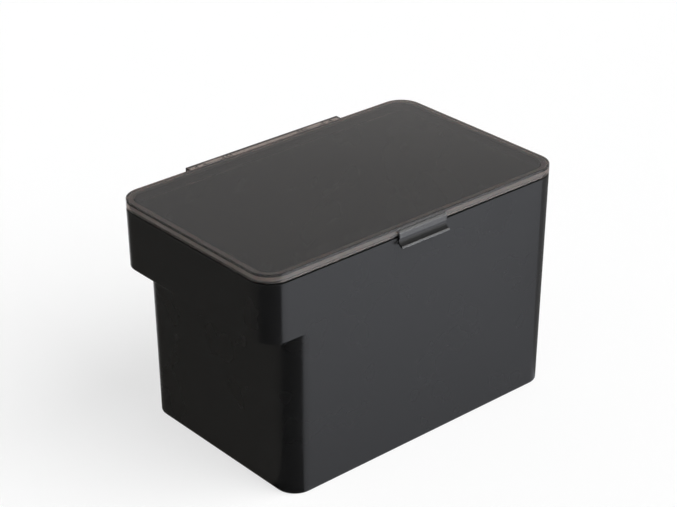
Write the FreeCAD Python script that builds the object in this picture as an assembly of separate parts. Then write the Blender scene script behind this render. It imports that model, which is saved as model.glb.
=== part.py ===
import FreeCAD, Part
import math
import os

# Pet food storage container with a hinged, latched lid and a measuring cup.
# Millimetres. X runs along the length, -Y is the front with the latch, +Y the back
# with the hinge, and Z is up from the surface that the container stands on.
# An inset is measured inwards from the lid's outer outline, on all four sides alike.

# Overall sizes
lid_length = 286.0
lid_depth = 175.0
total_height = 188.7
corner_radius = 18.3
front_reach = 5.4            # the latch's lip stands this far out of the front
back_reach = 5.4             # and the hinge this far out of the back

# Bin
outer_draft_deg = 0.84
overhang_height = 133.5      # underside of the grip along the left end
overhang_reach = 18.9
lower_corner_radius = 18.8   # left corners under the grip
floor_thickness = 3.0
wall_at_floor = 2.6
base_round = 1.5
base_rim_width = 8.0
base_recess = 0.8
cavity_round = 4.0
grip_round = 0.8
grip_floor_round = 3.0
shoulder_round = 0.3

# Rim, from the outside in: lid skirt, gap, bin neck, gap, gasket, lid plug
skirt_height = 6.8
seam_gap = 1.4
skirt_wall = 1.8
rim_gap = 0.3
neck_wall = 2.0
neck_height = 2.1
seal_gap = 0.35
gasket_leg = 1.05
gasket_top_gap = 0.05        # air between the seal and the rim above it
lip_taper = 0.4              # the sealing lip leans in by this much below its root
plug_wall = 1.4
plug_drop = 7.3
plug_bead = 0.35             # foot of the plug that keeps the gasket on
plug_bead_height = 0.5
panel_thickness = 2.2
rim_thickness = 2.6          # the lid is thicker above the seal
lid_edge_round = 0.6
neck_round = 0.35

# Hinge
hinge_width = 150.0
ear_width = 16.0
ear_centre = 50.0
ear_gap = 0.35
barrel_radius = 2.2
pin_radius = 1.0
pin_clearance = 0.06
pin_inner_end = 34.0
pin_end_recess = 0.6
knuckle_inner_edge = 33.0
knuckle_rib = 1.2            # ribs that carry the barrels of the knuckles
axis_below_top = 6.6
hood_wall = 1.8
heel_below_axis = 2.55       # foot of the hood's back wall, the lid's open stop
window_above_axis = 2.6
hood_round = 0.6
ear_top_drop = 0.15          # top of the ear's bracket below the shoulder
ear_slope_drop = 3.3         # its lower side slopes down by this much to the wall

# Latch
latch_width = 46.0
latch_side_gap = 0.3
latch_proud = 2.0
pivot_inset = 0.9
pivot_below_top = 2.45
knuckle_radius = 0.9
knuckle_gap = 0.3
peg_radius = 0.55
peg_length = 1.4
peg_clearance = 0.06
shoulder_below_pivot = 1.75
face_end_below_top = 8.7
face_step = 0.6
groove_radius = 4.0
lip_thickness = 1.5
tongue_inner_proud = 0.3
latch_heel_inset = 1.3       # inner face of the thick upper part
latch_heel_below_top = 7.1

# Catch, in a shallow recess of the bin behind the latch
recess_depth = 0.9
recess_side_gap = 0.5
recess_below_top = 13.4
catch_half_width = 17.0
catch_inset = 0.2
catch_below_top = 10.5
catch_land = 0.5
catch_height = 1.4
nib_half_width = 16.0
nib_gap = 0.3
nib_land = 0.4
nib_height = 1.3
nib_reach = 0.35

# Measuring cup, standing on the bin's floor with its handle to the right
cup_x = 52.0
cup_y = 34.0
cup_floor_gap = 0.3
cup_height = 88.0
cup_base = 61.0
cup_draft = 1.5              # growth of each side from the base to the step
cup_step_height = 52.0
cup_step_rise = 2.5
cup_step_out = 2.6           # step on three sides
cup_handle_step_out = 8.6    # step on the handle's side
cup_upper_draft = 0.6
cup_corner_radius = 8.0
cup_wall = 1.6
cup_floor = 2.0
cup_rim_out = 1.1
cup_rim_height = 1.6
cup_foot_round = 2.0
handle_reach = 31.0
handle_drop = 64.0
handle_bend = 20.0
handle_width = 16.0
handle_web = 1.8
handle_flange = 1.8
handle_depth = 3.8

# Heights and rim insets that follow from the sizes above
skirt_bottom = total_height - skirt_height
shoulder_height = skirt_bottom - seam_gap
neck_top = shoulder_height + neck_height
panel_bottom = total_height - panel_thickness
groove_roof = total_height - rim_thickness
plug_bottom = panel_bottom - plug_drop
neck_outer = skirt_wall + rim_gap
neck_inner = neck_outer + neck_wall
gasket_outer = neck_inner + seal_gap
plug_outer = gasket_outer + gasket_leg
plug_inner = plug_outer + plug_wall
half_length = lid_length / 2
half_depth = lid_depth / 2
outer_slope = math.tan(math.radians(outer_draft_deg))
hinge_y = half_depth + back_reach - barrel_radius
hinge_z = total_height - axis_below_top
pivot_y = -half_depth + pivot_inset
pivot_z = total_height - pivot_below_top

X = FreeCAD.Vector(1, 0, 0)
Y = FreeCAD.Vector(0, 1, 0)
Z = FreeCAD.Vector(0, 0, 1)


def point(x, y, z):
    return FreeCAD.Vector(x, y, z)


def rounded_rectangle(left, right, front, back, z, radius, left_radius=None):
    """Closed wire at height z that starts in the middle of its front side."""
    left_radius = radius if left_radius is None else left_radius
    middle = (left + right) / 2
    corners = [(right, front, radius, 1, -1), (right, back, radius, 1, 1),
               (left, back, left_radius, -1, 1), (left, front, left_radius, -1, -1)]
    edges = []
    last = point(middle, front, z)
    for x, y, r, sx, sy in corners:
        centre = point(x - sx * r, y - sy * r, z)
        side = point(x, y - sy * r, z)
        end = point(x - sx * r, y, z)
        first, second = (end, side) if sx * sy < 0 else (side, end)
        arc_middle = centre + point(sx * r, sy * r, 0) * math.sqrt(0.5)
        edges.append(Part.LineSegment(last, first).toShape())
        edges.append(Part.Arc(first, arc_middle, second).toShape())
        last = second
    edges.append(Part.LineSegment(last, point(middle, front, z)).toShape())
    return Part.Wire(edges)


def outline(inset, z, left_shift=0.0, left_radius=None):
    """The container's plan at an inset from the lid's outline."""
    if left_radius is not None:
        left_radius -= inset
    return rounded_rectangle(-half_length + inset + left_shift, half_length - inset,
                             -half_depth + inset, half_depth - inset, z,
                             corner_radius - inset, left_radius)


def loft(*wires):
    """Solid through wires that lie above each other."""
    return Part.makeLoft(list(wires), True, True)


def slab(inset, bottom, top):
    """Upright block with the container's plan at an inset."""
    return Part.Face(outline(inset, bottom)).extrude(Z * (top - bottom))


def band(outer, inner, bottom, top):
    """Upright ring between two insets."""
    return slab(outer, bottom, top).cut(slab(inner, bottom, top))


def prism(section, x_from, x_to):
    """Solid with a closed section of (y, z) points or edges along X."""
    if isinstance(section, list):
        corners = [point(x_from, y, z) for y, z in section]
        section = Part.makePolygon(corners + corners[:1])
    else:
        section = section.copy()
        section.translate(X * x_from)
    return Part.Face(section).extrude(X * (x_to - x_from))


def box(x_range, y_range, z_range):
    corner = point(x_range[0], y_range[0], z_range[0])
    return Part.makeBox(x_range[1] - x_range[0], y_range[1] - y_range[0],
                        z_range[1] - z_range[0], corner)


def rod(radius, y, z, x_from, x_to):
    """Cylinder along X."""
    return Part.makeCylinder(radius, x_to - x_from, point(x_from, y, z), X)


def edges_at(shape, z, test=None):
    """Edges whose whole length lies at height z."""
    found = []
    for edge in shape.Edges:
        bound = edge.BoundBox
        if abs(bound.ZMin - z) < 1e-4 and abs(bound.ZMax - z) < 1e-4:
            if test is None or test(edge.CenterOfMass):
                found.append(edge)
    return found


def outer_inset(z):
    """How far the drafted outside of the bin lies in from the lid's outline."""
    return outer_slope * (shoulder_height - z)


def inner_inset(z):
    """The same for the inside, which is upright beside the neck."""
    at_floor = outer_inset(floor_thickness) + wall_at_floor
    share = (shoulder_height - z) / (shoulder_height - floor_thickness)
    return neck_inner + (at_floor - neck_inner) * max(share, 0.0)


def bin_column(inset, bottom):
    """Drafted block of the bin's plan below the grip, from bottom up to the shoulder."""
    return loft(outline(inset(bottom), bottom, overhang_reach, lower_corner_radius),
                outline(inset(shoulder_height), shoulder_height,
                        overhang_reach, lower_corner_radius))


def grip_block(inset, bottom, rounding):
    """Left part of the block with the full plan, rounded along its lower edge."""
    block = loft(outline(inset(bottom), bottom), outline(inset(shoulder_height), shoulder_height))
    block = block.makeFillet(rounding, edges_at(block, bottom))
    length = overhang_reach + 2 * lower_corner_radius
    left = box((-half_length, -half_length + length), (-half_depth, half_depth),
               (bottom, shoulder_height))
    return block.common(left)


def bin_outside():
    column = bin_column(outer_inset, 0)
    column = column.makeFillet(base_round, edges_at(column, 0))
    outside = column.fuse(grip_block(outer_inset, overhang_height, grip_round)).removeSplitter()
    return outside.makeFillet(shoulder_round, edges_at(outside, shoulder_height))


def bin_cavity():
    column = bin_column(inner_inset, floor_thickness)
    column = column.makeFillet(cavity_round, edges_at(column, floor_thickness))
    grip = grip_block(inner_inset, overhang_height + floor_thickness, grip_floor_round)
    mouth = slab(neck_inner, shoulder_height, neck_top + 1.0)
    return column.fuse(grip).fuse(mouth).removeSplitter()


def neck():
    ring = slab(neck_outer, shoulder_height - 1.0, neck_top)
    return ring.makeFillet(neck_round, edges_at(ring, neck_top))


def base_hollow():
    inset = outer_inset(0) + base_rim_width
    return Part.Face(outline(inset, 0, overhang_reach, lower_corner_radius)).extrude(Z * base_recess)


def hinge_ear(centre):
    """Knuckle on a sloping bracket at the bin's back."""
    x_from = centre - ear_width / 2
    x_to = centre + ear_width / 2
    root = half_depth - neck_outer
    bracket_top = shoulder_height - ear_top_drop
    bracket_bottom = hinge_z - barrel_radius - ear_slope_drop
    bracket = prism([(hinge_y - barrel_radius, hinge_z),
                     (half_depth, bracket_top),
                     (root, bracket_top),
                     (root, bracket_bottom - neck_outer),
                     (half_depth, bracket_bottom),
                     (hinge_y, hinge_z - barrel_radius)], x_from, x_to)
    knuckle = rod(barrel_radius, hinge_y, hinge_z, x_from, x_to)
    return bracket.fuse(knuckle)


def catch_recess():
    half = latch_width / 2 + recess_side_gap
    recess_bottom = total_height - recess_below_top
    floor_y = -half_depth + recess_depth
    recess = box((-half, half), (-half_depth - 1.0, floor_y), (recess_bottom, shoulder_height + 0.01))
    catch_bottom = total_height - catch_below_top
    front_y = -half_depth + catch_inset
    ridge = prism([(floor_y, catch_bottom), (front_y, catch_bottom),
                   (front_y, catch_bottom + catch_land),
                   (floor_y, catch_bottom + catch_height)],
                  -catch_half_width, catch_half_width)
    return recess.cut(ridge)


def bin_body():
    body = bin_outside().fuse(neck())
    for side in (-1, 1):
        body = body.fuse(hinge_ear(side * ear_centre))
    body = body.cut(bin_cavity()).cut(base_hollow()).cut(catch_recess())
    for side in (-1, 1):
        x = side * ear_centre
        body = body.cut(rod(pin_radius, hinge_y, hinge_z, x - ear_width, x + ear_width))
    return body.removeSplitter()


def lid_shell():
    """Panel with a thicker rim, its skirt and the plug that goes into the bin's mouth."""
    panel = slab(0, skirt_bottom, total_height)
    panel = panel.makeFillet(lid_edge_round, edges_at(panel, total_height))
    shell = panel.cut(slab(skirt_wall, skirt_bottom, groove_roof))
    shell = shell.cut(slab(plug_inner, skirt_bottom, panel_bottom))
    plug = band(plug_outer, plug_inner, plug_bottom, groove_roof)
    bead = band(plug_outer - plug_bead, plug_inner, plug_bottom, plug_bottom + plug_bead_height)
    return shell.fuse(plug).fuse(bead)


def hood_rib(x_from, x_to):
    """Upright rib between a knuckle's barrel, the lid's back and the flange above."""
    back_y = half_depth + back_reach
    lid_y = half_depth - skirt_wall / 2
    rib = box((x_from, x_to), (lid_y, back_y), (hinge_z, total_height))
    return rib.cut(box((x_from, x_to), (lid_y, hinge_y - barrel_radius),
                       (hinge_z - 1.0, skirt_bottom + 1.0)))


def hinge_hood():
    """Flange at the lid's back, with ribbed knuckles beside each ear of the bin."""
    half = hinge_width / 2
    back_y = half_depth + back_reach
    lid_y = half_depth - skirt_wall / 2
    top = box((-half, half), (lid_y, back_y), (panel_bottom, total_height))
    wall = box((-half, half), (back_y - hood_wall, back_y),
               (hinge_z - heel_below_axis, total_height))
    hood = top.fuse(wall)
    for side in (-1, 1):
        ear_inner = ear_centre - ear_width / 2 - ear_gap
        ear_outer = ear_centre + ear_width / 2 + ear_gap
        for near, far in ((knuckle_inner_edge, ear_inner), (ear_outer, half)):
            x_from, x_to = sorted((side * near, side * far))
            hood = hood.fuse(rod(barrel_radius, hinge_y, hinge_z, x_from, x_to))
            for x in (x_from, (x_from + x_to - knuckle_rib) / 2, x_to - knuckle_rib):
                hood = hood.fuse(hood_rib(x, x + knuckle_rib))
        x_from, x_to = sorted((side * ear_inner, side * ear_outer))
        hood = hood.cut(box((x_from, x_to), (half_depth, back_y + 1.0),
                            (hinge_z - 10.0, hinge_z + window_above_axis)))
    return hood


def latch_notch():
    """Room for the latch in the lid's front, with sockets for its pegs."""
    half = latch_width / 2 + latch_side_gap
    room = box((-half, half), (-half_depth - 5.0, -half_depth + skirt_wall + rim_gap / 2),
               (skirt_bottom - 5.0, pivot_z))
    room = room.fuse(rod(knuckle_radius + knuckle_gap, pivot_y, pivot_z, -half, half))
    reach = latch_width / 2 + peg_length + 0.4
    return room.fuse(rod(peg_radius + peg_clearance, pivot_y, pivot_z, -reach, reach))


def lid():
    shape = lid_shell().fuse(hinge_hood()).cut(latch_notch())
    for side in (-1, 1):
        x_from, x_to = sorted((side * (knuckle_inner_edge - 1.0), side * (hinge_width / 2 + 1.0)))
        bore = rod(pin_radius + pin_clearance, hinge_y, hinge_z, x_from, x_to)
        shape = shape.cut(bore)
    shape = shape.removeSplitter()
    back_y = half_depth + back_reach

    def on_hood_back(centre):
        return centre.y > back_y - 0.1

    return shape.makeFillet(hood_round, edges_at(shape, total_height, on_hood_back))


def lid_gasket():
    """Silicone ring: a flat leg over the neck and a leaning lip inside it."""
    leg_bottom = neck_top + rim_gap
    lip_bottom = plug_bottom + plug_bead_height
    flat = band(neck_outer, plug_outer, leg_bottom, groove_roof - gasket_top_gap)
    bend = leg_bottom - gasket_leg
    upper = loft(outline(gasket_outer, leg_bottom + 0.2), outline(gasket_outer + lip_taper, bend))
    lower = slab(gasket_outer + lip_taper, lip_bottom, bend)
    core = slab(plug_outer, lip_bottom - 1.0, groove_roof + 1.0)
    return flat.fuse(upper.fuse(lower).cut(core)).removeSplitter()


def latch_section():
    """Closed wire of the latch's section, in the plane x = 0."""
    face_y = -half_depth - latch_proud
    tip_y = -half_depth - front_reach
    face_end = total_height - face_end_below_top
    groove_y = face_y + face_step
    groove_centre_z = face_end - 1.0
    groove_centre_y = groove_y - groove_radius
    lip_top = groove_centre_z - groove_radius
    lip_bottom = lip_top - lip_thickness
    under_radius = groove_radius + lip_thickness
    inner_y = -half_depth - tongue_inner_proud
    tip_round = 0.4
    heel_y = -half_depth + latch_heel_inset
    heel_z = total_height - latch_heel_below_top

    def on_knuckle(degrees):
        angle = math.radians(degrees)
        return point(0, pivot_y + knuckle_radius * math.cos(angle),
                     pivot_z + knuckle_radius * math.sin(angle))

    def around_groove(radius, y):
        drop = math.sqrt(radius ** 2 - (y - groove_centre_y) ** 2)
        return point(0, y, groove_centre_z - drop)

    def corner(y, z):
        return point(0, y, z)

    heel_angle = -math.degrees(math.acos((heel_y - pivot_y) / knuckle_radius))
    shoulder_start = on_knuckle(200)
    face_top = corner(face_y, pivot_z - shoulder_below_pivot)
    shoulder_middle = (shoulder_start + face_top) * 0.5 + point(0, -0.25, 0.3)
    path = [(on_knuckle(heel_angle), None),
            (shoulder_start, on_knuckle((heel_angle + 200) / 2)),
            (face_top, shoulder_middle),
            (corner(face_y, face_end + 0.4), None),
            (corner(face_y + 0.4, face_end), corner(face_y + 0.117, face_end + 0.117)),
            (corner(groove_y, face_end - 0.2), None),
            (corner(groove_y, groove_centre_z), None),
            (around_groove(groove_radius, tip_y + tip_round),
             around_groove(groove_radius, groove_centre_y + groove_radius * 0.707)),
            (corner(tip_y, lip_top - tip_round), corner(tip_y + 0.117, lip_top - 0.117)),
            (corner(tip_y, lip_bottom + tip_round), None),
            (around_groove(under_radius, tip_y + tip_round), corner(tip_y + 0.117, lip_bottom + 0.117)),
            (around_groove(under_radius, inner_y),
             around_groove(under_radius, groove_centre_y + under_radius * 0.6)),
            (corner(inner_y, heel_z), None),
            (corner(heel_y, heel_z), None)]
    edges = []
    last = path[0][0]
    for place, through in path[1:] + path[:1]:
        if through is None:
            edges.append(Part.LineSegment(last, place).toShape())
        else:
            edges.append(Part.Arc(last, through, place).toShape())
        last = place
    return Part.Wire(edges)


def latch():
    half = latch_width / 2
    shape = prism(latch_section(), -half, half)
    inner_y = -half_depth - tongue_inner_proud
    nib_top = total_height - catch_below_top - nib_gap
    nib = prism([(inner_y - 0.3, nib_top - nib_height), (inner_y, nib_top - nib_height),
                 (inner_y + nib_reach, nib_top - nib_land), (inner_y + nib_reach, nib_top),
                 (inner_y - 0.3, nib_top)], -nib_half_width, nib_half_width)
    shape = shape.fuse(nib)
    return shape.fuse(rod(peg_radius, pivot_y, pivot_z, -half - peg_length, half + peg_length))


def hinge_pin(side):
    x_from, x_to = sorted((side * pin_inner_end, side * (hinge_width / 2 - pin_end_recess)))
    return rod(pin_radius, hinge_y, hinge_z, x_from, x_to)


def cup_outline(grow, z, handle_grow=None):
    """Plan of the cup in its own place, grown from its base size."""
    handle_grow = grow if handle_grow is None else handle_grow
    half = cup_base / 2
    return rounded_rectangle(cup_x - half - grow, cup_x + half + handle_grow,
                             cup_y - half - grow, cup_y + half + grow,
                             floor_thickness + cup_floor_gap + z, cup_corner_radius + grow)


def cup_skin(shrink, bottom):
    """Stepped body of the cup, shrunk by the wall for its inside."""
    step_top = cup_step_height + cup_step_rise
    side_top = cup_draft + cup_step_out
    handle_top = cup_draft + cup_handle_step_out

    def ring(grow, z, handle_grow=None):
        handle_grow = grow if handle_grow is None else handle_grow
        return cup_outline(grow - shrink, z, handle_grow - shrink)

    lower = loft(ring(cup_draft * bottom / cup_step_height, bottom), ring(cup_draft, cup_step_height))
    lower = lower.makeFillet(cup_foot_round, edges_at(lower, lower.BoundBox.ZMin))
    step = loft(ring(cup_draft, cup_step_height), ring(side_top, step_top, handle_top))
    top = cup_height + (1.0 if shrink > 0 else 0.0)
    upper = loft(ring(side_top, step_top, handle_top),
                 ring(side_top + cup_upper_draft, top, handle_top + cup_upper_draft))
    return lower.fuse(step).fuse(upper)


def cup_handle():
    """Channel-shaped strap from the rim, bent over and open at its lower end."""
    rim_x = cup_x + cup_base / 2 + cup_draft + cup_handle_step_out
    top_z = floor_thickness + cup_floor_gap + cup_height
    outer_x = rim_x + handle_reach
    end_z = top_z - handle_drop

    def strip(depth, y_from, y_to):
        """Bent strip of the given depth below the strap's outside."""
        start = rim_x - cup_wall / 2
        outer = handle_bend
        inner = handle_bend - depth
        centre_x = outer_x - outer
        centre_z = top_z - outer
        lean = math.sqrt(0.5)

        def place(x, z):
            return point(x, y_from, z)

        edges = [Part.LineSegment(place(start, top_z), place(centre_x, top_z)).toShape(),
                 Part.Arc(place(centre_x, top_z),
                          place(centre_x + outer * lean, centre_z + outer * lean),
                          place(outer_x, centre_z)).toShape(),
                 Part.LineSegment(place(outer_x, centre_z), place(outer_x, end_z)).toShape(),
                 Part.LineSegment(place(outer_x, end_z), place(outer_x - depth, end_z)).toShape(),
                 Part.LineSegment(place(outer_x - depth, end_z),
                                  place(outer_x - depth, centre_z)).toShape(),
                 Part.Arc(place(outer_x - depth, centre_z),
                          place(centre_x + inner * lean, centre_z + inner * lean),
                          place(centre_x, top_z - depth)).toShape(),
                 Part.LineSegment(place(centre_x, top_z - depth), place(start, top_z - depth)).toShape(),
                 Part.LineSegment(place(start, top_z - depth), place(start, top_z)).toShape()]
        return Part.Face(Part.Wire(edges)).extrude(Y * (y_to - y_from))

    half = handle_width / 2
    web = strip(handle_web, cup_y - half, cup_y + half)
    for side in (-1, 1):
        near, far = sorted((cup_y + side * half, cup_y + side * (half - handle_flange)))
        web = web.fuse(strip(handle_depth, near, far))
    return web


def measuring_cup():
    handle_top = cup_draft + cup_handle_step_out + cup_upper_draft
    side_top = cup_draft + cup_step_out + cup_upper_draft
    rim = Part.Face(cup_outline(side_top + cup_rim_out, cup_height - cup_rim_height,
                                handle_top + cup_rim_out)).extrude(Z * cup_rim_height)
    shape = cup_skin(0, 0).fuse(rim).fuse(cup_handle())
    return shape.cut(cup_skin(cup_wall, cup_floor)).removeSplitter()


nodes = {
    "bin_body": bin_body(),
    "lid": lid(),
    "lid_gasket": lid_gasket(),
    "latch": latch(),
    "hinge_pin_left": hinge_pin(-1),
    "hinge_pin_right": hinge_pin(1),
    "measuring_cup": measuring_cup(),
}

os.makedirs("parts", exist_ok=True)
for name, shape in nodes.items():
    shape.exportStep("parts/" + name + ".step")
    bound = shape.BoundBox
    print(name, "solids", len(shape.Solids), "valid", shape.isValid(),
          "volume", round(shape.Volume / 1000, 2), "cm3",
          "x %.1f %.1f y %.1f %.1f z %.1f %.1f" % (bound.XMin, bound.XMax, bound.YMin,
                                                   bound.YMax, bound.ZMin, bound.ZMax))
print("room inside", round(bin_cavity().Volume / 1e6, 2), "litres")
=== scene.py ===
# %% [markdown]
# A pet food container in a studio
#
# The container is a deep black bin with a smoke-tinted clear lid, a flap latch, a silicone
# seal and a clear measuring cup that is kept inside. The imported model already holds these
# parts at their real sizes and with their real edges. They could be modelled again here, but
# their shapes are right, so this script only gives them their finishes, adds the scale that
# is printed on the cup, and lights the lot on a pale floor.

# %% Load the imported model
import math

import bpy
import numpy as np
from mathutils import Matrix, Vector


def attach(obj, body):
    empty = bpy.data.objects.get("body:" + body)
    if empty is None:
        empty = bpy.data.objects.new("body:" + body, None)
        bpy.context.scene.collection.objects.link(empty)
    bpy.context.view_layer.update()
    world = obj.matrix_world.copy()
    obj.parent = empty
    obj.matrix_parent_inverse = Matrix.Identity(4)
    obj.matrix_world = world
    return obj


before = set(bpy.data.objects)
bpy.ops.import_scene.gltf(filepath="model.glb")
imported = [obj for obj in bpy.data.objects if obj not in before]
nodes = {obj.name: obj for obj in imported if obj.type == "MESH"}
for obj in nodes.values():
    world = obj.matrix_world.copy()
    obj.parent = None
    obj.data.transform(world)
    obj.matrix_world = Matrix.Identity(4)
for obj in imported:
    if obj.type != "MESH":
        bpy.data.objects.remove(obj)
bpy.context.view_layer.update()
scene = bpy.context.scene
print("loaded", sorted(nodes))

# %% [markdown]
# Making and joining shader nodes
#
# Every finish below is a Principled BSDF. Its sockets take plain values where the finish is
# even, and small node chains where it varies. Such a chain could be drawn by hand in the
# shader editor. These helpers make a material, set a shader's values by name, and add and
# join nodes, so that each finish reads like a list and can be changed in one place.

# %% Shader helpers
def new_material(name):
    """An empty node material and its Principled shader."""
    material = bpy.data.materials.new(name)
    material.use_nodes = True
    return material, material.node_tree.nodes["Principled BSDF"]


def set_values(shader, values):
    """Sets the named sockets of a shader."""
    for socket, value in values.items():
        shader.inputs[socket].default_value = value


def add_node(material, kind, **inputs):
    """A new node with values for some of its sockets."""
    node = material.node_tree.nodes.new(kind)
    for socket, value in inputs.items():
        node.inputs[socket.replace("_", " ")].default_value = value
    return node


def wire(material, source, target):
    """Joins an output socket to an input socket."""
    material.node_tree.links.new(source, target)


def feed(material, value, target):
    """Sets an input socket to a number, or joins it to an output socket."""
    if isinstance(value, float):
        target.default_value = value
    else:
        wire(material, value, target)


print("helpers for materials and nodes are ready")

# %% [markdown]
# Values that vary over a surface
#
# No moulding is perfectly even: its polish wanders, it has a fine grain, and a thick place
# looks different from a thin one. An image could carry all that, but noise and plain
# coordinates need no file and no unwrapping. They are read in Object coordinates, so that
# the pattern stays on the piece when it moves.

# %% Noise, grain and zones
def object_place(material):
    """The Object coordinates of the surface."""
    return add_node(material, "ShaderNodeTexCoord").outputs["Object"]


def noise_between(material, scale, low, high):
    """A value that wanders between low and high: the middle part of a noise, stretched."""
    noise = add_node(material, "ShaderNodeTexNoise", Scale=scale, Detail=2.0)
    remap = add_node(material, "ShaderNodeMapRange", From_Min=0.3, From_Max=0.7,
                     To_Min=low, To_Max=high)
    wire(material, object_place(material), noise.inputs["Vector"])
    wire(material, noise.outputs["Fac"], remap.inputs["Value"])
    return remap.outputs["Result"]


def grain_bump(material, shader, scale, distance, strength):
    """Fine even grain: noise as a height, so many metres deep, into the shader's normal."""
    noise = add_node(material, "ShaderNodeTexNoise", Scale=scale, Detail=1.0)
    bump = add_node(material, "ShaderNodeBump", Strength=strength, Distance=distance)
    wire(material, object_place(material), noise.inputs["Vector"])
    wire(material, noise.outputs["Fac"], bump.inputs["Height"])
    wire(material, bump.outputs["Normal"], shader.inputs["Normal"])


def rise(material, axis, start, full, low=0.0, high=1.0):
    """A value along an axis: low up to the start, high past the full mark, even between."""
    split = add_node(material, "ShaderNodeSeparateXYZ")
    remap = add_node(material, "ShaderNodeMapRange", From_Min=start, From_Max=full,
                     To_Min=low, To_Max=high)
    wire(material, object_place(material), split.inputs["Vector"])
    wire(material, split.outputs[axis], remap.inputs["Value"])
    return remap.outputs["Result"]


def zoned(material, base, zones):
    """A base value that turns into another one in each masked zone after it.

    Each zone is a mask from 0 to 1 and the value that holds where the mask is 1.
    """
    result = base
    for mask, value in zones:
        remap = add_node(material, "ShaderNodeMapRange", To_Max=value)
        wire(material, mask, remap.inputs["Value"])
        feed(material, result, remap.inputs["To Min"])
        result = remap.outputs["Result"]
    return result


print("helpers for noise, grain and zones are ready")

# %% [markdown]
# The bin's satin black
#
# The bin is moulded in a nearly black plastic. It could be given a dark grey colour, but
# almost all the light that the real one sends back is the sheen of its surface, a blurred
# mirror image of the floor. So the base colour is very dark and the roughness decides the
# look. A moulded wall is never evenly smooth, so the roughness wanders a little, and a fine
# grain keeps the sheen from looking like glass.

# %% Satin black plastic
satin_black, shader = new_material("satin_black")
set_values(shader, {"Base Color": (0.008, 0.008, 0.0082, 1), "IOR": 1.5})
wire(satin_black, noise_between(satin_black, scale=26.0, low=0.23, high=0.29),
     shader.inputs["Roughness"])
grain_bump(satin_black, shader, scale=2600.0, distance=0.00002, strength=0.25)
print(satin_black.name)

# %% [markdown]
# Smoke-tinted and clear plastic
#
# The lid is clear plastic with a grey-brown dye, and the measuring cup is almost without
# colour. A tint on the surface would be the easy way, but a dye works through the thickness:
# a thin wall looks pale and a long way through the rim looks dark. So the colour comes from
# a Volume Absorption shader inside the solid, and the surface is clear plastic that bends
# light. A little haze stands for the light that every clear moulding scatters back.

# %% Clear plastics
def clear_plastic(name, index, polish, dye, density, haze=0.0):
    """Clear plastic that bends light, with a dye that absorbs along the path.

    The polish is the pair of roughness values that it wanders between, and the haze is the
    share of light that the plastic scatters back instead of letting it through.
    """
    material, shader = new_material(name)
    set_values(shader, {"Base Color": (1, 1, 1, 1), "Transmission Weight": 1.0 - haze,
                        "IOR": index})
    smoothest, dullest = polish
    wire(material, noise_between(material, scale=45.0, low=smoothest, high=dullest),
         shader.inputs["Roughness"])
    absorption = add_node(material, "ShaderNodeVolumeAbsorption", Color=(*dye, 1),
                          Density=density)
    wire(material, absorption.outputs["Volume"],
         material.node_tree.nodes["Material Output"].inputs["Volume"])
    return material


smoke_clear = clear_plastic("smoke_clear", index=1.5, polish=(0.022, 0.04),
                            dye=(0.30, 0.18, 0.11), density=380.0, haze=0.028)
cup_clear = clear_plastic("cup_clear", index=1.5, polish=(0.015, 0.035),
                          dye=(0.86, 0.9, 0.9), density=12.0, haze=0.02)
print(smoke_clear.name, cup_clear.name)

# %% [markdown]
# The latch's denser plastic
#
# The latch shows a lighter, glossier face than the lid, a nearly black groove for the
# fingertip under it, and a bright line along the tip. Three materials on one moulding would
# leave hard borders. So it has one plastic with a denser dye and a clear coat, whose finish
# changes with height and depth. The sloped shoulder and the tip are made slightly milky so
# that the lamp lights them brighter: painted highlights. The thick flap, where the groove
# lies, is painted near black, opaque and matt: painted shade for the groove's shadow.

# %% Latch plastic
smoke_dense = clear_plastic("smoke_dense", index=1.58, polish=(0.04, 0.06),
                            dye=(0.3, 0.27, 0.25), density=900.0)
shader = smoke_dense.node_tree.nodes["Principled BSDF"]
set_values(shader, {"Coat IOR": 1.58, "Coat Roughness": 0.03})
latch_polish = shader.inputs["Roughness"].links[0].from_socket
print(smoke_dense.name)

# %% Zones of the latch, with painted highlights and painted shade
# Painted highlights: the shoulder and the tip are made milky, so that the lamp lights them
# brighter.
shoulder_highlight = rise(smoke_dense, "Z", start=0.1841, full=0.1846)
knuckle = rise(smoke_dense, "Z", start=0.1857, full=0.1861)
# Painted shade: low down, the flap is near black, opaque and matt, for the groove's shadow.
flap_shade_colour = rise(smoke_dense, "Z", start=0.1808, full=0.1803)
flap_shade = rise(smoke_dense, "Z", start=0.1803, full=0.1799)
tip_highlight = rise(smoke_dense, "Y", start=-0.0921, full=-0.0927)
latch_light_and_shade_zones = {
    "Transmission Weight": (0.98, ((shoulder_highlight, 0.885), (knuckle, 0.98), (flap_shade, 0.0),
                                   (tip_highlight, 0.91))),
    "Base Color": (0.95, ((flap_shade_colour, 0.012), (tip_highlight, 0.95))),
    "Coat Weight": (0.65, ((flap_shade, 0.0), (tip_highlight, 0.5))),
    "Roughness": (latch_polish, ((flap_shade, 0.25), (tip_highlight, 0.05))),
}
for socket, (base, zones) in latch_light_and_shade_zones.items():
    wire(smoke_dense, zoned(smoke_dense, base, zones), shader.inputs[socket])
print("the latch varies in", ", ".join(latch_light_and_shade_zones))

# %% [markdown]
# Silicone, steel and ink
#
# The seal is milky silicone: soft, matt and slightly see-through. Full scattering inside it
# would be slow and hardly seen through the lid, so a little subsurface light does. The hinge
# pins are drawn steel wire, a metal whose polish varies finely. The scale on the cup is a
# matt black ink.

# %% Small finishes
silicone, shader = new_material("silicone")
set_values(shader, {"Base Color": (0.48, 0.48, 0.48, 1), "Subsurface Weight": 0.3,
                    "Subsurface Scale": 0.001, "IOR": 1.41})
wire(silicone, noise_between(silicone, scale=400.0, low=0.42, high=0.55),
     shader.inputs["Roughness"])

steel, shader = new_material("drawn_steel")
set_values(shader, {"Base Color": (0.55, 0.54, 0.52, 1), "Metallic": 1.0})
wire(steel, noise_between(steel, scale=900.0, low=0.22, high=0.38),
     shader.inputs["Roughness"])

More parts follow.
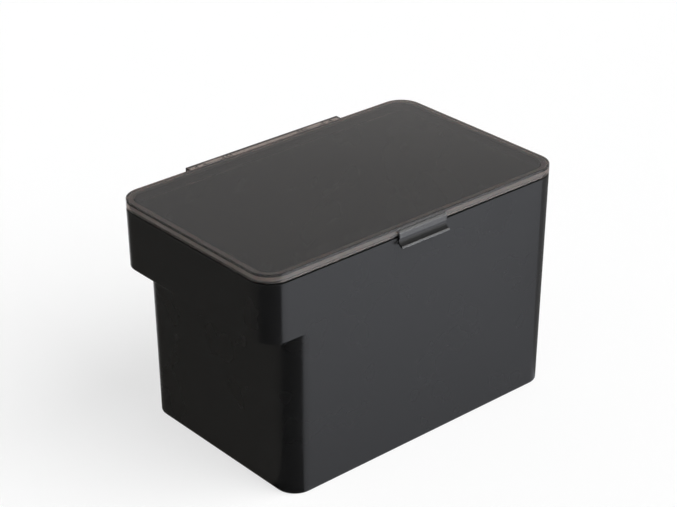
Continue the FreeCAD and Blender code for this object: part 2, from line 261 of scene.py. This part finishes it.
ink, shader = new_material("scale_ink")
set_values(shader, {"Base Color": (0.012, 0.012, 0.012, 1), "IOR": 1.45})
wire(ink, noise_between(ink, scale=1500.0, low=0.45, high=0.6), shader.inputs["Roughness"])
print(silicone.name, steel.name, ink.name)

# %% [markdown]
# Finishes onto parts
#
# The faces of one part could take different materials. But each moulded part of the real
# container is one plastic, so one material a part is enough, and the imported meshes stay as
# they are.

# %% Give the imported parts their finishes
finishes = {"bin_body": satin_black, "lid": smoke_clear, "latch": smoke_dense,
            "lid_gasket": silicone, "hinge_pin_left": steel, "hinge_pin_right": steel,
            "measuring_cup": cup_clear}
for name, material in finishes.items():
    nodes[name].data.materials.clear()
    nodes[name].data.materials.append(material)
print("finished", len(finishes), "parts")

# %% [markdown]
# The wall that carries the print
#
# The cup carries a black scale on its front and another on its back. Pad printing puts a
# film of ink on the wall. A shrinkwrap could press marks onto the cup, but its wall is
# simple: it leans out as it rises and steps out half way up. So one function gives the
# wall's place at any height, and all marks follow it, a hair's breadth outside.

# %% The cup's wall
CUP_MIDDLE = (0.052, 0.034)
CUP_FOOT = 0.0033
WALL_HEIGHTS = np.array([0.0, 0.052, 0.0545, 0.088])
WALL_REACH = np.array([0.0305, 0.0320, 0.0346, 0.0352])
INK_AIR = 0.00004
INK_FILM = 0.00005
FRONT = -1
BACK = 1


def wall_reach(height):
    """How far the cup's wall stands from its middle: straight lines between known heights."""
    return np.interp(height, WALL_HEIGHTS, WALL_REACH)


def new_object(name, vertices, faces, material):
    """A mesh object at the origin from arrays of points and faces."""
    mesh = bpy.data.meshes.new(name)
    mesh.from_pydata(np.asarray(vertices, float).tolist(), [], faces)
    mesh.materials.append(material)
    made = bpy.data.objects.new(name, mesh)
    scene.collection.objects.link(made)
    return made


def add_to_cup(piece):
    """The print moves with the cup and takes its slot."""
    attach(piece, "cup")


print("wall at the foot and above the step", wall_reach(0.0), wall_reach(0.0545))

# %% [markdown]
# Lines of the scale
#
# Each level has a long dash on either side of its number, and between two levels a short
# tick stands at each end, except across the step. Every mark is a thin plate with eight
# corners. Plates could be duplicated objects, but one array holds them all in one piece.

# %% Dashes and ticks
LEVELS = np.array([0.0148, 0.0301, 0.0454, 0.0565, 0.0670, 0.0775])
STEP_GAP = 2
DASH_CENTRE = 0.0155
DASH_HALF = 0.0072
TICK_CENTRE = 0.0189
TICK_HALF = 0.0038
STROKE_HALF = 0.00033


def mark_table(levels):
    """Centre, half length and height of each mark, two for a level and two for a gap."""
    gaps = np.delete((levels[:-1] + levels[1:]) / 2, STEP_GAP)
    rows = [(side * DASH_CENTRE, DASH_HALF, z) for z in levels for side in (-1, 1)]
    rows += [(side * TICK_CENTRE, TICK_HALF, z) for z in gaps for side in (-1, 1)]
    return np.array(rows)


def print_plates(table, facing):
    """Thin plates for all marks: a box of eight corners each, laid on the leaning wall.

    A corner stands off the wall's reach at its own height by the air and by the film. Front
    and back mirror each other, so the front's corners are listed the other way round.
    """
    across = np.array([-1, 1, 1, -1, -1, 1, 1, -1])
    along = np.array([-1, -1, 1, 1, -1, -1, 1, 1])
    out = np.array([0, 0, 0, 0, 1, 1, 1, 1])
    x = CUP_MIDDLE[0] + table[:, 0:1] + across * table[:, 1:2]
    height = table[:, 2:3] + along * STROKE_HALF
    y = CUP_MIDDLE[1] + facing * (wall_reach(height) + INK_AIR + INK_FILM * out)
    points = np.stack([x, y, CUP_FOOT + height], axis=-1).reshape(-1, 3)
    box = np.array([[0, 3, 2, 1], [4, 5, 6, 7], [0, 1, 5, 4], [1, 2, 6, 5], [2, 3, 7, 6],
                    [3, 0, 4, 7]])
    if facing == FRONT:
        box = box[:, ::-1]
    faces = (np.arange(len(table))[:, None, None] * 8 + box).reshape(-1, 4)
    return points, faces.tolist()


for name, facing in (("scale_lines_front", FRONT), ("scale_lines_back", BACK)):
    points, faces = print_plates(mark_table(LEVELS), facing)
    add_to_cup(new_object(name, points, faces, ink))
    print(name, len(faces), "faces")

# %% [markdown]
# Numbers of the scale
#
# Each level has a plain number. Drawing the figures by hand would be slow, so a text object
# gives their outlines. It is made a mesh first, and then its points are moved onto the wall
# as one array: across stays across, up becomes height, and the thickness becomes the film
# of ink.

# %% Figures on both sides
FIGURE_HEIGHT = 0.0043
FIGURE_BOLDNESS = 0.00018
FIGURE_SHARE_OF_SIZE = 0.7


def figures_mesh(text):
    """The figures of a number as a mesh in its own plane, centred on its middle."""
    curve = bpy.data.curves.new("figures", "FONT")
    curve.body = text
    curve.size = FIGURE_HEIGHT / FIGURE_SHARE_OF_SIZE
    curve.align_x = "CENTER"
    curve.align_y = "CENTER"
    curve.extrude = 0.5
    curve.offset = FIGURE_BOLDNESS
    curve.resolution_u = 4
    holder = bpy.data.objects.new("figures", curve)
    scene.collection.objects.link(holder)
    mesh = bpy.data.meshes.new_from_object(holder)
    bpy.data.objects.remove(holder)
    return mesh


def number_on_wall(name, text, level, facing):
    """A number pressed onto the wall at a level, to be read from outside."""
    mesh = figures_mesh(text)
    mesh.name = name
    flat = np.empty(len(mesh.vertices) * 3, np.float32)
    mesh.vertices.foreach_get("co", flat)
    flat = flat.reshape(-1, 3)
    height = level + flat[:, 1] - flat[:, 1].max() / 2 - flat[:, 1].min() / 2
    out = wall_reach(height) + INK_AIR + INK_FILM * (flat[:, 2] > 0)
    moved = np.stack([CUP_MIDDLE[0] - facing * flat[:, 0], CUP_MIDDLE[1] + facing * out,
                      CUP_FOOT + height], axis=-1)
    mesh.vertices.foreach_set("co", moved.astype(np.float32).ravel())
    mesh.update()
    mesh.materials.clear()
    mesh.materials.append(ink)
    made = bpy.data.objects.new(name, mesh)
    scene.collection.objects.link(made)
    return made


for facing, side, numbers in ((FRONT, "front", (25, 50, 75, 100, 125, 150)),
                              (BACK, "back", (10, 20, 30, 40, 50, 60))):
    for level, number in zip(LEVELS, numbers):
        add_to_cup(number_on_wall(f"scale_{side}_{number}", str(number), level, facing))
    print("numbers on the", side, numbers)

# %% [markdown]
# The floor
#
# The floor is one large sheet of white paper that curves up far away, so that no picture
# shows an edge. A plain plane would end in a horizon. Lit paper alone comes out grey, and
# more light would wash out the container. So the picture's own rays, and those that come by
# a mirror or through plastic, see it about a third as it is lit and two thirds as pure
# white, which keeps the paper white and leaves the container's shadow on it.

# %% Shape of the paper sweep
def sweep_points(flat_radius, bend_radius, wall_height, sides=96, steps=12):
    """A disc whose rim bends up into a wall: the profile (radius, height) turned about Z.

    The profile is a point near the middle, the flat radius, a quarter circle and the wall.
    The faces are quads between neighbours of the grid, closed round the turn.
    """
    angle = np.linspace(0, np.pi / 2, steps)
    radius = np.concatenate([[0.001], flat_radius + bend_radius * np.sin(angle),
                             [flat_radius + bend_radius]])
    height = np.concatenate([[0.0], bend_radius * (1 - np.cos(angle)), [wall_height]])
    around = np.linspace(0, 2 * np.pi, sides, endpoint=False)
    x = radius[:, None] * np.cos(around)
    y = radius[:, None] * np.sin(around)
    z = np.broadcast_to(height[:, None], x.shape)
    i, j = np.meshgrid(np.arange(len(radius) - 1), np.arange(sides), indexing="ij")
    k = (j + 1) % sides
    quads = np.stack([i * sides + j, i * sides + k, (i + 1) * sides + k,
                      (i + 1) * sides + j], axis=-1)
    return np.stack([x, y, z], axis=-1).reshape(-1, 3), quads.reshape(-1, 4).tolist()


sheet_points, sheet_faces = sweep_points(flat_radius=7.0, bend_radius=1.5, wall_height=2.4)
print("sheet of", len(sheet_faces), "faces")

# %% Paper
GLOW_SHARE = 0.68


def math_node(material, operation, first, second):
    """The result of an arithmetic operation on two values."""
    node = add_node(material, "ShaderNodeMath")
    node.operation = operation
    feed(material, first, node.inputs[0])
    feed(material, second, node.inputs[1])
    return node.outputs["Value"]


paper, shader = new_material("white_paper")
set_values(shader, {"Base Color": (0.95, 0.95, 0.95, 1), "Roughness": 0.9,
                    "Specular IOR Level": 0.0})
rays = add_node(paper, "ShaderNodeLightPath")
seen = rays.outputs["Is Camera Ray"]
for kind in ("Is Glossy Ray", "Is Transmission Ray"):
    seen = math_node(paper, "MAXIMUM", seen, rays.outputs[kind])
glow = add_node(paper, "ShaderNodeEmission", Strength=1.0)
blend = add_node(paper, "ShaderNodeMixShader")
wire(paper, math_node(paper, "MULTIPLY", seen, GLOW_SHARE), blend.inputs["Fac"])
wire(paper, shader.outputs["BSDF"], blend.inputs[1])
wire(paper, glow.outputs["Emission"], blend.inputs[2])
wire(paper, blend.outputs["Shader"], paper.node_tree.nodes["Material Output"].inputs["Surface"])

sweep = new_object("paper_sweep", sheet_points, sheet_faces, paper)
sweep.data.shade_smooth()
print(sweep.name, "in", paper.name)

# %% [markdown]
# Cards for the reflections
#
# The bin is so dark that its surface shows whatever lies around it. A photographer steers
# that with cards on the table just outside the picture: black beside the front left corner,
# grey at both ends, a white one in front and a dimmer one behind. These two darken towards
# the bin's foot, painted shade for the floor that the bin shadows there. Real cards would
# also bounce light and throw shadows. These only glow, and only mirrored rays see them, so
# they are painted reflections that change the sheen and nothing else.

# %% Making a card
CARD_HEIGHT = 0.0006
FAR = 3.0


def card(name, corners, tone, foot_shade_tone=1.0, fade=None):
    """A card on the floor through the given (x, y) corners, for mirrored rays only.

    With a fade of two y values, its glow goes from the foot shade tone at the first to full at
    the second: painted shade near the bin's foot.
    """
    material = new_material(name)[0]
    material.node_tree.nodes.remove(material.node_tree.nodes["Principled BSDF"])
    glow = add_node(material, "ShaderNodeEmission", Color=(*tone, 1), Strength=1.0)
    if fade:
        wire(material, rise(material, "Y", *fade, low=foot_shade_tone), glow.inputs["Strength"])
    wire(material, glow.outputs["Emission"],
         material.node_tree.nodes["Material Output"].inputs["Surface"])
    made = new_object(name, [(x, y, CARD_HEIGHT) for x, y in corners],
                      [list(range(len(corners)))], material)
    made.visible_camera = False
    made.visible_diffuse = False
    made.visible_transmission = False
    made.visible_shadow = False


def far_from(corner, degrees):
    """The far point from a corner, in a direction counted from +X."""
    turn = math.radians(degrees)
    return corner[0] + FAR * math.cos(turn), corner[1] + FAR * math.sin(turn)


print("cards reach", FAR, "metres out")

# %% Five cards round the bin
front_left = (-0.112, -0.060)
front_right = (0.125, -0.070)
back_left = (-0.112, 0.060)
back_right = (0.125, 0.070)
black_from = far_from(front_left, -84.0)
grey_from = far_from(front_right, -38.0)
back_left_from = far_from(back_left, 96.0)
back_right_from = far_from(back_right, 50.0)
# The white and back cards dim towards the bin's foot: painted shade in the floor that the sheen
# mirrors.
card("white_card", [front_left, black_from, (FAR, -FAR), grey_from, front_right],
     tone=(1.12, 1.15, 1.235), foot_shade_tone=0.52, fade=(-0.09, -0.4))
card("black_card", [front_left, (-FAR, front_left[1]), (-FAR, -FAR), black_from],
     tone=(0.01, 0.01, 0.01))
card("left_grey_card", [front_left, back_left, back_left_from, (-FAR, FAR),
                        (-FAR, front_left[1])], tone=(0.11, 0.105, 0.095))
card("back_card", [back_left, back_right, back_right_from, back_left_from],
     tone=(0.8, 0.8, 0.82), foot_shade_tone=0.52, fade=(0.09, 0.4))
card("right_grey_card", [front_right, grey_from, (FAR, FAR), back_right_from, back_right],
     tone=(0.26, 0.26, 0.26))
print("cards meet at", front_left, front_right, back_left, back_right)

# %% [markdown]
# The lamp and the studio's walls
#
# The light on the real container is soft and comes from high up. An area lamp would do, but
# its light fades with distance, and the wide floor would darken away from it. So a sun lamp
# with a wide angle is the softbox, from the front right. Its mirror image would burn out the
# lid, so mirrored rays don't see it. The world stands for the studio's walls, bright at the
# horizon and darker overhead.

# %% Softbox
softbox = bpy.data.objects.new("softbox", bpy.data.lights.new("softbox", "SUN"))
softbox.data.energy = 3.6
softbox.data.angle = math.radians(60)
softbox.rotation_euler = (math.radians(38), math.radians(28), 0)
softbox.visible_glossy = False
scene.collection.objects.link(softbox)
print("softbox of strength", round(softbox.data.energy, 2))

# %% Studio walls
WALL_TONES = ((0.25, 0.9), (0.42, 0.30), (0.51, 0.19), (1.0, 0.12))
world = bpy.data.worlds.new("studio")
scene.world = world
world.use_nodes = True
sky = world.node_tree.nodes["Background"]
direction = add_node(world, "ShaderNodeTexCoord")
split = add_node(world, "ShaderNodeSeparateXYZ")
ramp = add_node(world, "ShaderNodeValToRGB")
while len(ramp.color_ramp.elements) < len(WALL_TONES):
    ramp.color_ramp.elements.new(0.5)
for stop, (height, tone) in zip(ramp.color_ramp.elements, WALL_TONES):
    stop.position = height
    stop.color = (tone, tone, tone, 1)
wire(world, direction.outputs["Generated"], split.inputs["Vector"])
wire(world, split.outputs["Z"], ramp.inputs["Fac"])
wire(world, ramp.outputs["Color"], sky.inputs["Color"])
print("walls in", len(WALL_TONES), "tones")

# %% [markdown]
# The camera
#
# The camera stands where the photographer's did. It could be aimed with a Track To
# constraint, but a fitted view also has a slight roll. So its turn is built from three
# directions: away from the container, to the side and up, the last two turned by the roll.

# %% Camera
AZIMUTH = math.radians(-40.867)
ELEVATION = math.radians(27.341)
ROLL = math.radians(-0.193)
FOCAL_LENGTH = 102.24
SENSOR_WIDTH = 36.0
CAMERA_PLACE = Vector((-0.85094, -0.97996, 0.79723))

away = Vector((math.sin(AZIMUTH) * math.cos(ELEVATION),
               -math.cos(AZIMUTH) * math.cos(ELEVATION), math.sin(ELEVATION)))
side = Vector((0, 0, 1)).cross(away).normalized()
up = away.cross(side)
side, up = (math.cos(ROLL) * side + math.sin(ROLL) * up,
            math.cos(ROLL) * up - math.sin(ROLL) * side)
turn = Matrix((side, up, away)).transposed()
camera = bpy.data.objects.new("camera", bpy.data.cameras.new("camera"))
camera.data.lens = FOCAL_LENGTH
camera.data.sensor_width = SENSOR_WIDTH
camera.data.clip_end = 100.0
camera.matrix_world = Matrix.Translation(CAMERA_PLACE) @ turn.to_4x4()
scene.collection.objects.link(camera)
bpy.context.scene.camera = camera
bpy.context.scene.view_settings.view_transform = "Standard"
print("camera at", tuple(round(v, 3) for v in CAMERA_PLACE))
